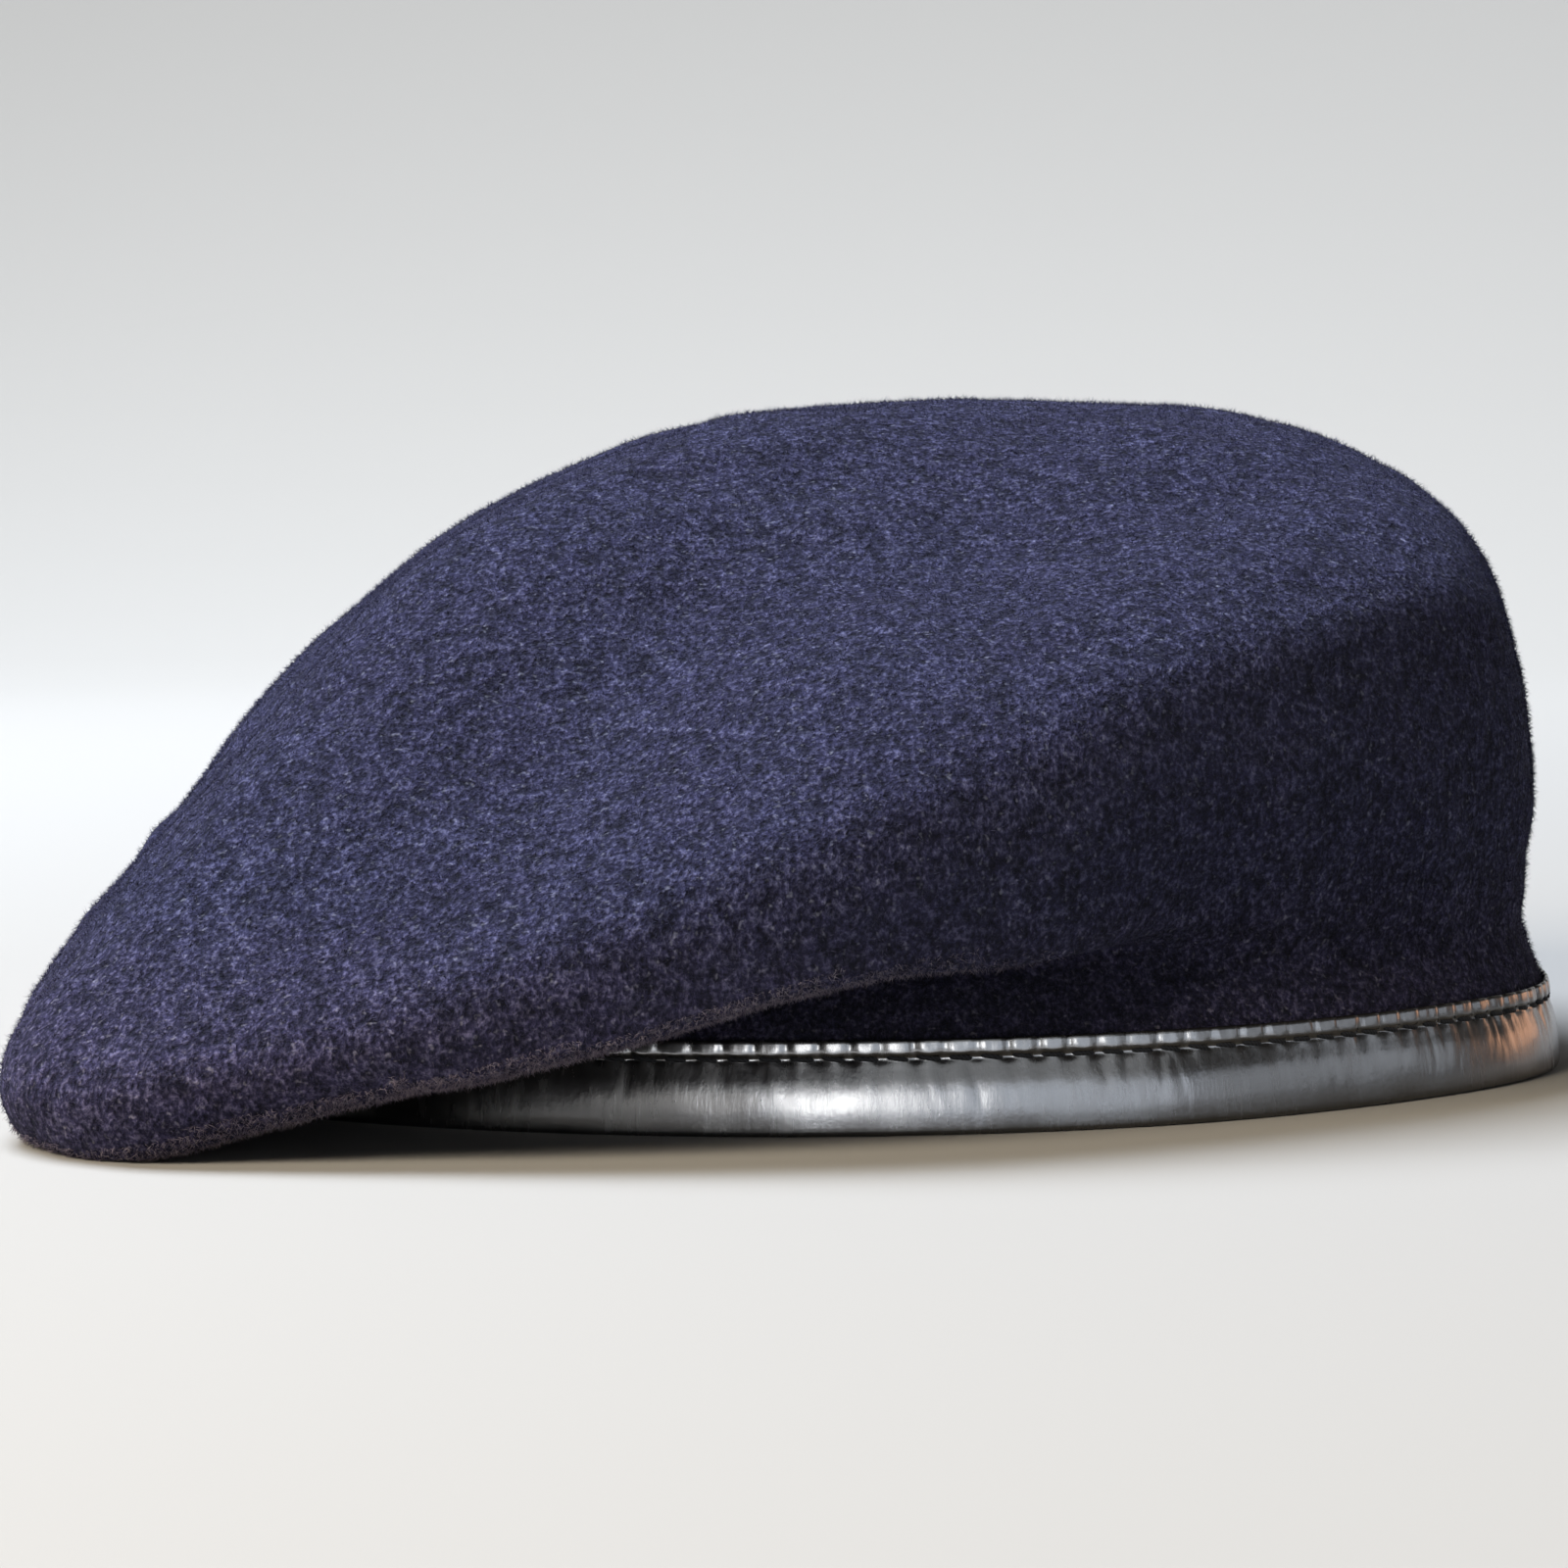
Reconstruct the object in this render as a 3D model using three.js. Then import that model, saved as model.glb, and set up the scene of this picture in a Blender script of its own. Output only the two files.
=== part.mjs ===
// A military beret resting on a flat surface, with its crown pulled down over the right side.
// Two pieces: the crown, one seamless hollow of felt, and the headband, leather folded over its mouth.
// Millimetres, +Z up. +X is the wearer's front and -Y the wearer's right. The origin is below the middle.
import * as THREE from "three";

// Driving dimensions
const HEAD_GIRTH = 570; // round the inside of the headband
const MOUTH_RATIO = 0.88; // the mouth's width over its length
const FELT = 2;
const LEATHER = 1.2;
const FIT_GAP = 0.3; // between the felt and the leather on either side of it
const BAND_HEIGHT = 11.6; // outside
const INNER_LEAF_HEIGHT = 10.4;
const BAND_BULGE = 1.2; // how far the folded leather stands out below its upper edge
const FOOT = { innerRise: 2, innerRound: 1.2, outerEdge: 0.4 }; // the fold's underside, flat where it rests
const FRONT_CORNER = { az: 340, width: 13, out: 2.4 }; // where the mouth leaves its ellipse, in degrees
const SUMMIT = new THREE.Vector3(12, 30, 93); // the highest point of the crown's outer face
const PLACE = new THREE.Vector3(1.5, 12.95, 0); // brings the middle of the beret over the origin
const SIDES = 72; // steps round the mouth
const STEPS = 3; // steps between two points of a section
const TIGHT_SHARE = 0.55; // of a tight roll's radius that the felt fills

// The crown's sections, one for each direction round the mouth. az is the direction in degrees from +X
// towards +Y. An out value is the distance outside the mouth's outline and a z value the height. crease is
// where the felt turns outward above the headband, lip the lowest point beyond it, wall the widest point, and
// ridge the turn into the top. The last two columns are the top's heights, at TOP_SHARES of the way from the
// summit to the ridge.
const COLUMNS = [
  "az", "creaseOut", "creaseZ", "lipOut", "lipZ", "wallOut", "wallZ", "ridgeOut", "ridgeZ", "top80", "top55",
];
const SECTIONS = [
  [0, -1.6, 20, -0.8, 28, 0.4, 38, -9.5, 74, 84, 89.5],
  [25, -1.4, 20, -0.2, 28, 1, 40, -9.5, 81.5, 89, 92.2],
  [50, -1.4, 20, 0, 28, 2, 42, -5, 85.5, 91.5, 93],
  [75, -1.4, 20, 0, 28, 2.5, 42, -4, 85, 91.6, 93.2],
  [110, -1.6, 20, 0, 27, 3, 40, -4, 80.5, 88.5, 91.2],
  [135, -2, 19, 0, 25, 3.5, 35, -3, 64, 76.5, 85.5],
  [160, -2, 18, 0.4, 21, 3.5, 27.5, -2.5, 38, 62, 80],
  [180, -1, 16, 0.8, 19, 2.4, 22.4, -1.4, 28, 55, 77.5],
  [190, -1.2, 16, 2.4, 16.2, 5.4, 19.8, 2.8, 24.4, 50.5, 76.5],
  [200, -2, 17, 5.8, 11.8, 10.8, 15.4, 7.8, 20.8, 47, 75],
  [215, -3, 19, 24.5, 2.4, 30, 7.6, 27, 15, 43.5, 72],
  [224, -3, 21, 39.5, 0.6, 45, 6.4, 41, 13.5, 39.5, 67],
  [232, -3, 22, 43.5, 0.5, 49.5, 6.6, 45, 13.5, 37.5, 64],
  [240, -3, 23, 38, 3.8, 44, 9.4, 39.5, 16, 38, 62],
  [248, -3, 23, 31, 7.6, 36.5, 13, 32.5, 20.5, 40.5, 61.5],
  [260, -3.5, 23, 26, 14, 30, 21, 26, 30, 49, 64.5],
  [272, -3.5, 22, 19, 19.6, 23.5, 29, 19, 41, 57, 67.5],
  [284, -3.5, 20, 10, 21.8, 14, 35, 9, 50, 60.5, 69.5],
  [296, -3, 19, 1, 24, 6, 40, 2, 57.5, 66, 73.5],
  [310, -2, 19, -0.5, 26, 2, 42, -4, 66, 72, 78.5],
  [330, -2.4, 20, -1.6, 27, 0, 40, -7.5, 70.5, 77, 83.5],
  [345, -3, 20, -2.4, 28, -1, 38, -10.5, 72.5, 81, 87.7],
];
const SHOULDER = { out: 0.3, z: 0.6 }; // a point at these shares of the way from wall to ridge
const TOP_SHARES = [0.8, 0.55];
const CAP_SHARES = [0.25, 0.1]; // rings on the cap, a shallow quadric round the summit
const CAP_RISE = { x: 0.03, y: 0.078 };
const CAP_BEND = { xx: -0.0024, yy: -0.0049, xy: 0.003 };

// The headband's outer leaf from its foot up: heights, and how far it stands out as a share of the bulge
const BULGE_COLUMNS = ["z", "out"];
const BULGE = [
  [1, 0],
  [3, 0.8],
  [5.6, 1],
  [8.2, 0.7],
  [10.4, -0.08],
];

// The mouth: an ellipse, taken along the felt's outer face where it enters the headband
function halfLengthOf(girth, ratio) {
  return girth / (Math.PI * (3 * (1 + ratio) - Math.sqrt((3 + ratio) * (1 + 3 * ratio))));
}
const INNER_LENGTH = halfLengthOf(HEAD_GIRTH, MOUTH_RATIO);
const MOUTH_X = INNER_LENGTH + LEATHER + FIT_GAP + FELT;
const MOUTH_Y = INNER_LENGTH * MOUTH_RATIO + LEATHER + FIT_GAP + FELT;

function turnOf(az) {
  return THREE.MathUtils.euclideanModulo(THREE.MathUtils.radToDeg(az), 360);
}

// A point at a distance outside the mouth's outline
function mouthPoint(az, out, z) {
  const normal = new THREE.Vector2(Math.cos(az) / MOUTH_X, Math.sin(az) / MOUTH_Y).normalize();
  const fromCorner = THREE.MathUtils.euclideanModulo(turnOf(az) - FRONT_CORNER.az + 180, 360) - 180;
  const reach = out + FRONT_CORNER.out * Math.exp(-((fromCorner / FRONT_CORNER.width) ** 2));
  return new THREE.Vector3(
    MOUTH_X * Math.cos(az) + reach * normal.x,
    MOUTH_Y * Math.sin(az) + reach * normal.y,
    z,
  );
}

// The table read at any direction, by a cubic through the rows on either side
function sectionAt(az) {
  const rows = SECTIONS.length;
  const turn = turnOf(az);
  let k = rows - 1;
  while (SECTIONS[k][0] > turn) k -= 1;
  const row = (i) => {
    const wrapped = THREE.MathUtils.euclideanModulo(i, rows);
    return SECTIONS[wrapped].map((v, c) => (c === 0 ? v + 360 * Math.round((i - wrapped) / rows) : v));
  };
  const [before, start, end, after] = [row(k - 1), row(k), row(k + 1), row(k + 2)];
  const span = end[0] - start[0];
  const t = (turn - start[0]) / span;
  const read = {};
  COLUMNS.forEach((name, c) => {
    const leave = ((end[c] - before[c]) / (end[0] - before[0])) * span;
    const arrive = ((after[c] - start[c]) / (after[0] - start[0])) * span;
    read[name] =
      (2 * t ** 3 - 3 * t ** 2 + 1) * start[c] +
      (t ** 3 - 2 * t ** 2 + t) * leave +
      (3 * t ** 2 - 2 * t ** 3) * end[c] +
      (t ** 3 - t ** 2) * arrive;
  });
  return read;
}

// A point of the cap, at a share of the way from the summit to the ridge
function capPoint(ridge, share) {
  const x = share * (ridge.x - SUMMIT.x);
  const y = share * (ridge.y - SUMMIT.y);
  const slope = CAP_RISE.x * x + CAP_RISE.y * y;
  const bend = CAP_BEND.xx * x * x + CAP_BEND.yy * y * y + CAP_BEND.xy * x * y;
  return new THREE.Vector3(SUMMIT.x + x, SUMMIT.y + y, SUMMIT.z + slope + bend);
}

// The outer face's line from the mouth's edge to the summit
function sectionLine(az) {
  const s = sectionAt(az);
  const { lerp } = THREE.MathUtils;
  const ridge = mouthPoint(az, s.ridgeOut, s.ridgeZ);
  const topHeights = [s.top80, s.top55];
  const points = [
    mouthPoint(az, 0, BAND_HEIGHT),
    mouthPoint(az, s.creaseOut, s.creaseZ),
    mouthPoint(az, (s.creaseOut + s.lipOut) / 2, (s.creaseZ + s.lipZ) / 2),
    mouthPoint(az, s.lipOut, s.lipZ),
    mouthPoint(az, s.wallOut, s.wallZ),
    mouthPoint(az, lerp(s.wallOut, s.ridgeOut, SHOULDER.out), lerp(s.wallZ, s.ridgeZ, SHOULDER.z)),
    ridge,
    ...TOP_SHARES.map((share, i) => SUMMIT.clone().lerp(ridge, share).setZ(topHeights[i])),
    ...CAP_SHARES.map((share) => capPoint(ridge, share)),
    SUMMIT,
  ];
  const curve = new THREE.CatmullRomCurve3(points, false, "centripetal");
  return [mouthPoint(az, 0, LEATHER + 2 * FIT_GAP), ...curve.getPoints((points.length - 1) * STEPS)];
}

// The inner face's point behind an outer one: the felt's thickness further in, or less inside a tight roll
function innerPoint(p, inward, before, after) {
  const arrive = p.clone().sub(before);
  const leave = after.clone().sub(p);
  const length = (arrive.length() + leave.length()) / 2;
  const curl = leave.normalize().sub(arrive.normalize()).dot(inward) / length;
  const depth = curl > 0 ? Math.min(FELT, TIGHT_SHARE / curl) : FELT;
  return p.clone().addScaledVector(inward, depth);
}

// A closed body from its points and the corners of its triangles
function closedBody(points, faces) {
  const geometry = new THREE.BufferGeometry();
  const coordinates = points.flatMap((p) => p.toArray());
  geometry.setAttribute("position", new THREE.Float32BufferAttribute(coordinates, 3));
  geometry.setIndex(faces);
  return geometry;
}

function quad(a, b, c, d) {
  return [a, b, c, a, c, d];
}

// The crown: an outer face and an inner one, joined round the mouth's edge and closed at the summit
function crownGeometry() {
  const lines = [];
  for (let i = 0; i < SIDES; i += 1) lines.push(sectionLine((2 * Math.PI * i) / SIDES));
  const at = (i, j) => lines[(i + SIDES) % SIDES][j];
  const inner = lines.map((line, i) =>
    line.slice(0, -1).map((p, j) => {
      const round = at(i + 1, j).clone().sub(at(i - 1, j));
      const up = line[j + 1].clone().sub(line[Math.max(0, j - 1)]);
      const inward = up.clone().cross(round).normalize();
      const before = j === 0 ? p.clone().sub(up) : line[j - 1];
      return innerPoint(p, inward, before, line[j + 1]);
    }),
  );
  const outer = lines.map((line) => line.slice(0, -1));
  const across = outer[0].length;
  const outerAt = (i, j) => (i % SIDES) * across + j;
  const innerAt = (i, j) => (SIDES + (i % SIDES)) * across + j;
  const outerSummit = 2 * SIDES * across;
  const innerSummit = outerSummit + 1;
  const faces = [];
  for (let i = 0; i < SIDES; i += 1) {
    for (let j = 0; j < across - 1; j += 1) {
      faces.push(...quad(outerAt(i, j), outerAt(i + 1, j), outerAt(i + 1, j + 1), outerAt(i, j + 1)));
      faces.push(...quad(innerAt(i, j), innerAt(i, j + 1), innerAt(i + 1, j + 1), innerAt(i + 1, j)));
    }
    faces.push(outerAt(i, across - 1), outerAt(i + 1, across - 1), outerSummit);
    faces.push(innerAt(i + 1, across - 1), innerAt(i, across - 1), innerSummit);
    faces.push(...quad(innerAt(i, 0), innerAt(i + 1, 0), outerAt(i + 1, 0), outerAt(i, 0)));
  }
  const summits = [SUMMIT, SUMMIT.clone().setZ(SUMMIT.z - FELT)];
  return closedBody([...outer.flat(), ...inner.flat(), ...summits], faces);
}

// The headband's section, out from the mouth and up from the surface: down the slot that holds the felt, up
// the slot's other side, over the inner leaf and down to the foot, and up the outer leaf
function bandSection() {
  const slotOutside = FIT_GAP;
  const slotInside = -FELT - FIT_GAP;
  const slotFloor = LEATHER + FIT_GAP;
  const outside = slotOutside + LEATHER;
  const inside = slotInside - LEATHER;
  const zColumn = BULGE_COLUMNS.indexOf("z");
  const outColumn = BULGE_COLUMNS.indexOf("out");
  return [
    [slotOutside, BAND_HEIGHT],
    [slotOutside, slotFloor],
    [slotInside, slotFloor],
    [slotInside, INNER_LEAF_HEIGHT],
    [inside, INNER_LEAF_HEIGHT],
    [inside, FOOT.innerRise],
    [inside + FOOT.innerRound, 0],
    [FOOT.outerEdge, 0],
    ...BULGE.map((row) => [outside + row[outColumn] * BAND_BULGE, row[zColumn]]),
    [outside, BAND_HEIGHT],
  ];
}

function bandGeometry() {
  const section = bandSection();
  const across = section.length;
  const points = [];
  const faces = [];
  for (let i = 0; i < SIDES; i += 1) {
    points.push(...section.map(([out, z]) => mouthPoint((2 * Math.PI * i) / SIDES, out, z)));
    for (let j = 0; j < across; j += 1) {
      const next = (i + 1) % SIDES;
      const k = (j + 1) % across;
      faces.push(...quad(i * across + j, next * across + j, next * across + k, i * across + k));
    }
  }
  return closedBody(points, faces);
}

function mesh(name, geometry, color, roughness) {
  const made = new THREE.Mesh(geometry, new THREE.MeshStandardMaterial({ color, roughness, metalness: 0 }));
  made.name = name;
  made.position.copy(PLACE);
  return made;
}

const beret = new THREE.Group();
beret.add(mesh("crown", crownGeometry(), 0x23253a, 0.95));
beret.add(mesh("headband", bandGeometry(), 0x141416, 0.35));

export default beret;
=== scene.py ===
import math

import bpy
import numpy as np
from mathutils import Matrix, Vector


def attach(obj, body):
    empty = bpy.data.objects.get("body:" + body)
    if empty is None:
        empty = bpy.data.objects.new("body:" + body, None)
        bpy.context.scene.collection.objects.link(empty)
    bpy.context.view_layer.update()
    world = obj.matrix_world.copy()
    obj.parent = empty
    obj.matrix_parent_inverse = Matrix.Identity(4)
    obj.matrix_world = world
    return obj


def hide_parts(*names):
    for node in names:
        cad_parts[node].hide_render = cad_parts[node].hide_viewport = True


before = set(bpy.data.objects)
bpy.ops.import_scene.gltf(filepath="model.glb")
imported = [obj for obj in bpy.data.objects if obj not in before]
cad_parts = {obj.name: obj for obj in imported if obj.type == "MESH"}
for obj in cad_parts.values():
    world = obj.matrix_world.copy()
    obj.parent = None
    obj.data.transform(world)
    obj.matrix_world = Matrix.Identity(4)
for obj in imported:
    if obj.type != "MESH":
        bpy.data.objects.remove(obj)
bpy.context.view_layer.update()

# The beret stands on z = 0. +X is the wearer's front and -Y the wearer's right, where the crown hangs down.
# Shapes are worked out in millimetres and turned into metres when a mesh is made.
MM = 0.001
SEED = 57

# Sizes shared with the solids
HEAD_GIRTH = 570
MOUTH_RATIO = 0.88  # the mouth's width over its length
FELT = 2.0
LEATHER = 1.2
FIT_GAP = 0.3
BAND_HEIGHT = 11.6
INNER_LEAF_HEIGHT = 10.4
FRONT_CORNER = {"az": 340, "width": 13, "out": 2.4}  # where the mouth's outline bulges a little
SUMMIT = np.array([12.0, 30.0, 93.0])
PLACE = np.array([1.5, 12.95, 0.0])  # moves the middle of the beret's box to the origin
TIGHT_SHARE = 0.55  # the most of a roll's radius that the felt's thickness takes up

# The crown's sections round the mouth, in degrees from +X towards +Y. An out value is the distance outside
# the mouth's outline and a z value the height. top80 and top55 are heights between the ridge and the summit.
COLUMNS = [
    "az", "creaseOut", "creaseZ", "lipOut", "lipZ", "wallOut", "wallZ",
    "ridgeOut", "ridgeZ", "top80", "top55",
]
SECTIONS = [
    [0, -1.6, 20, -0.8, 28, 0.4, 38, -9.5, 74, 84, 89.5],
    [25, -1.4, 20, -0.2, 28, 1, 40, -9.5, 81.5, 89, 92.2],
    [50, -1.4, 20, 0, 28, 2, 42, -5, 85.5, 91.5, 93],
    [75, -1.4, 20, 0, 28, 2.5, 42, -4, 85, 91.6, 93.2],
    [110, -1.6, 20, 0, 27, 3, 40, -4, 80.5, 88.5, 91.2],
    [135, -2, 19, 0, 25, 3.5, 35, -3, 64, 76.5, 85.5],
    [160, -2, 18, 0.4, 21, 3.5, 27.5, -2.5, 38, 62, 80],
    [180, -1, 16, 0.8, 19, 2.4, 22.4, -1.4, 28, 55, 77.5],
    [190, -1.2, 16, 2.4, 16.2, 5.4, 19.8, 2.8, 24.4, 50.5, 76.5],
    [200, -2, 17, 5.8, 11.8, 10.8, 15.4, 7.8, 20.8, 47, 75],
    [215, -3, 19, 25, 2.2, 29.8, 7.6, 27, 15, 43.5, 72],
    [224, -3, 21, 40.4, 0.5, 44.5, 6.4, 41, 13.5, 39.5, 67],
    [232, -3, 22, 44.6, 0.5, 48.7, 6.6, 45, 13.5, 37.5, 64],
    [240, -4.5, 23, 38, 4.8, 43.7, 10.2, 39.5, 17, 38, 62],
    [248, -8, 23.3, 31, 9.2, 36.5, 14.4, 32.5, 22.5, 41, 61.5],
    [260, -9, 24, 26, 15.1, 30, 22, 26, 32.5, 50, 64.5],
    [272, -9, 24.7, 19, 21.5, 23.5, 30.4, 19, 43.5, 58, 67.5],
    [284, -8, 23.2, 10, 22.7, 14, 35.5, 9, 52.5, 61.5, 69.5],
    [296, -5.5, 21.2, 0.2, 24.7, 6, 40, 2, 59.5, 66.5, 73.5],
    [310, -3.8, 19, -1.4, 26, 2, 42, -4, 66, 72, 78.5],
    [330, -3.6, 20, -2.4, 27, 0, 40, -7.5, 70.5, 77, 83.5],
    [345, -3, 20, -2.4, 28, -1, 38, -10.5, 72.5, 81, 87.7],
]
# Where a section's further points lie: shares of the way from wall to ridge, and from summit to ridge. Near
# the summit their heights follow a slope and a bend.
SHOULDER = {"out": 0.3, "z": 0.6}
TOP_SHARES = [0.8, 0.55]
CAP_SHARES = [0.25, 0.1]
CAP_RISE = {"x": 0.03, "y": 0.078}
CAP_BEND = {"xx": -0.0024, "yy": -0.0049, "xy": 0.003}

# Camera, at the photograph's angle
PICTURE = 1600
FOCAL_PX = 5147
HORIZON_Y = 474
AHEAD_X = 841
CAMERA_PLACE = np.array([0.0, -717.0, 84.0]) + PLACE
CAMERA_ROLL = math.radians(0.57)
SENSOR = 36.0
NEAREST = 0.01


def make_camera():
    """A camera that puts the beret where the photograph has it."""
    pitch = -math.atan((PICTURE / 2 - HORIZON_Y) / FOCAL_PX)
    yaw = math.atan((PICTURE / 2 - AHEAD_X) / FOCAL_PX)
    ahead = Vector((math.sin(yaw) * math.cos(pitch), math.cos(yaw) * math.cos(pitch), math.sin(pitch)))
    level = ahead.cross(Vector((0, 0, 1))).normalized()
    above = level.cross(ahead)
    right = level * math.cos(CAMERA_ROLL) - above * math.sin(CAMERA_ROLL)
    up = right.cross(ahead)
    data = bpy.data.cameras.new("camera")
    data.sensor_width = SENSOR
    data.lens = SENSOR * FOCAL_PX / PICTURE
    data.clip_start = NEAREST
    camera = bpy.data.objects.new("camera", data)
    turned = Matrix((right, up, -ahead)).transposed().to_4x4()
    turned.translation = Vector(CAMERA_PLACE * MM)
    camera.matrix_world = turned
    bpy.context.scene.collection.objects.link(camera)
    bpy.context.scene.camera = camera


# The mouth: an ellipse along the felt's outer face where it enters the headband
def half_length_of(girth, ratio):
    """Half the length of an ellipse with a known girth and a known width over length."""
    return girth / (math.pi * (3 * (1 + ratio) - math.sqrt((3 + ratio) * (1 + 3 * ratio))))


INNER_LENGTH = half_length_of(HEAD_GIRTH, MOUTH_RATIO)
MOUTH_X = INNER_LENGTH + LEATHER + FIT_GAP + FELT
MOUTH_Y = INNER_LENGTH * MOUTH_RATIO + LEATHER + FIT_GAP + FELT


def mouth_point(az, out, z):
    """Points at a distance outside the mouth's outline. az is in radians, and all three may be arrays."""
    az, out, z = np.broadcast_arrays(np.asarray(az, float), out, z)
    normal = np.stack([np.cos(az) / MOUTH_X, np.sin(az) / MOUTH_Y], -1)
    normal /= np.linalg.norm(normal, axis=-1, keepdims=True)
    turn = (np.degrees(az) - FRONT_CORNER["az"] + 180) % 360 - 180
    reach = out + FRONT_CORNER["out"] * np.exp(-((turn / FRONT_CORNER["width"]) ** 2))
    x = MOUTH_X * np.cos(az) + reach * normal[..., 0]
    y = MOUTH_Y * np.sin(az) + reach * normal[..., 1]
    return np.stack([x, y, z], -1)


def sections_at(turns):
    """The table's columns at any directions in degrees, by a cubic through the rows on either side."""
    rows = np.array(SECTIONS, float)
    whole = np.zeros(len(COLUMNS))
    whole[0] = 360
    ring = np.concatenate([rows[-2:] - whole, rows, rows[:3] + whole])
    k = np.searchsorted(ring[:, 0], turns, side="right") - 1
    before, start, end, after = ring[k - 1], ring[k], ring[k + 1], ring[k + 2]
    span = (end[:, 0] - start[:, 0])[:, None]
    t = (turns[:, None] - start[:, :1]) / span
    leave = (end - before) / (end[:, :1] - before[:, :1]) * span
    arrive = (after - start) / (after[:, :1] - start[:, :1]) * span
    read = (
        (2 * t**3 - 3 * t**2 + 1) * start
        + (t**3 - 2 * t**2 + t) * leave
        + (3 * t**2 - 2 * t**3) * end
        + (t**3 - t**2) * arrive
    )
    return {name: read[:, c] for c, name in enumerate(COLUMNS)}


def through(points, places):
    """A centripetal curve through points[:, i], read at places from 0 to the last point's number."""
    ends = [2 * points[:, :1] - points[:, 1:2], points, 2 * points[:, -1:] - points[:, -2:-1]]
    line = np.concatenate(ends, axis=1)
    k = np.minimum(places.astype(int), points.shape[1] - 2)
    t = (places - k)[None, :, None]
    p0, p1, p2, p3 = (line[:, k + i] for i in range(4))
    spans = ((p0, p1), (p1, p2), (p2, p3))
    d0, d1, d2 = (np.sqrt(np.linalg.norm(b - a, axis=-1, keepdims=True)) for a, b in spans)
    leave = ((p1 - p0) / d0 - (p2 - p0) / (d0 + d1) + (p2 - p1) / d1) * d1
    arrive = ((p2 - p1) / d1 - (p3 - p1) / (d1 + d2) + (p3 - p2) / d2) * d1
    return (
        p1
        + leave * t
        + (3 * (p2 - p1) - 2 * leave - arrive) * t**2
        + (2 * (p1 - p2) + leave + arrive) * t**3
    )


def section_points(az):
    """The points that each section's line goes through, from the headband's upper edge to the summit."""
    s = sections_at(np.degrees(az) % 360)
    ridge = mouth_point(az, s["ridgeOut"], s["ridgeZ"])
    points = [
        mouth_point(az, 0, BAND_HEIGHT),
        mouth_point(az, s["creaseOut"], s["creaseZ"]),
        mouth_point(az, (s["creaseOut"] + s["lipOut"]) / 2, (s["creaseZ"] + s["lipZ"]) / 2),
        mouth_point(az, s["lipOut"], s["lipZ"]),
        mouth_point(az, s["wallOut"], s["wallZ"]),
        mouth_point(
            az,
            s["wallOut"] + SHOULDER["out"] * (s["ridgeOut"] - s["wallOut"]),
            s["wallZ"] + SHOULDER["z"] * (s["ridgeZ"] - s["wallZ"]),
        ),
        ridge,
    ]
    for share, heights in zip(TOP_SHARES, (s["top80"], s["top55"])):
        point = SUMMIT + share * (ridge - SUMMIT)
        point[:, 2] = heights
        points.append(point)
    for share in CAP_SHARES:
        point = SUMMIT + share * (ridge - SUMMIT)
        x, y = point[:, 0] - SUMMIT[0], point[:, 1] - SUMMIT[1]
        slope = CAP_RISE["x"] * x + CAP_RISE["y"] * y
        bend = CAP_BEND["xx"] * x * x + CAP_BEND["yy"] * y * y + CAP_BEND["xy"] * x * y
        point[:, 2] = SUMMIT[2] + slope + bend
        points.append(point)
    points.append(np.tile(SUMMIT, (len(az), 1)))
    return np.stack(points, axis=1)


# Meshes from arrays
TINY = 1e-9  # keeps a divisor above 0
WAVE_SPREAD = (0.7, 1.6)  # how far the waves' lengths vary
FLIPPED = [0, 3, 2, 1]  # a face's corners the other way round


def put_in_scene(name, mesh, material):
    """An object made of a mesh, with smooth shading and one material."""
    mesh.polygons.foreach_set("use_smooth", np.full(len(mesh.polygons), True))
    mesh.materials.append(material)
    made = bpy.data.objects.new(name, mesh)
    bpy.context.scene.collection.objects.link(made)
    return made


def mesh_object(name, points, face_groups, material):
    """An object from points in the solids' millimetres, before PLACE. A group's faces have equal length."""
    points = np.asarray(points, float).reshape(-1, 3)
    corners = np.concatenate([np.full(len(group), group.shape[1]) for group in face_groups])
    starts = np.cumsum(corners) - corners
    numbers = np.concatenate([group.ravel() for group in face_groups])
    mesh = bpy.data.meshes.new(name)
    mesh.vertices.add(len(points))
    mesh.vertices.foreach_set("co", ((points + PLACE) * MM).ravel())
    mesh.loops.add(len(numbers))
    mesh.loops.foreach_set("vertex_index", numbers.astype(np.int32))
    mesh.polygons.add(len(corners))
    mesh.polygons.foreach_set("loop_start", starts.astype(np.int32))
    mesh.update(calc_edges=True)
    mesh.validate()
    return put_in_scene(name, mesh, material)


def grid_faces(numbers):
    """Four-cornered faces of a grid of point numbers that closes on itself along its first axis."""
    following = np.roll(numbers, -1, axis=0)
    corners = [numbers[:, :-1], following[:, :-1], following[:, 1:], numbers[:, 1:]]
    return np.stack(corners, -1).reshape(-1, 4)


def fan_faces(ring, middle):
    """Triangles from a closed ring of point numbers to one point in its middle."""
    return np.stack([ring, np.roll(ring, -1), np.full(len(ring), middle)], -1)


def unit(vectors):
    """The same directions with a length of 1."""
    return vectors / np.maximum(np.linalg.norm(vectors, axis=-1, keepdims=True), TINY)


def normals_of(grid):
    """Outward normals of a grid of points that closes on itself along its first axis."""
    around = np.roll(grid, -1, axis=0) - np.roll(grid, 1, axis=0)
    up = np.empty_like(grid)
    up[:, 1:-1] = grid[:, 2:] - grid[:, :-2]
    up[:, 0] = grid[:, 1] - grid[:, 0]
    up[:, -1] = grid[:, -1] - grid[:, -2]
    return unit(np.cross(around, up))


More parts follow.
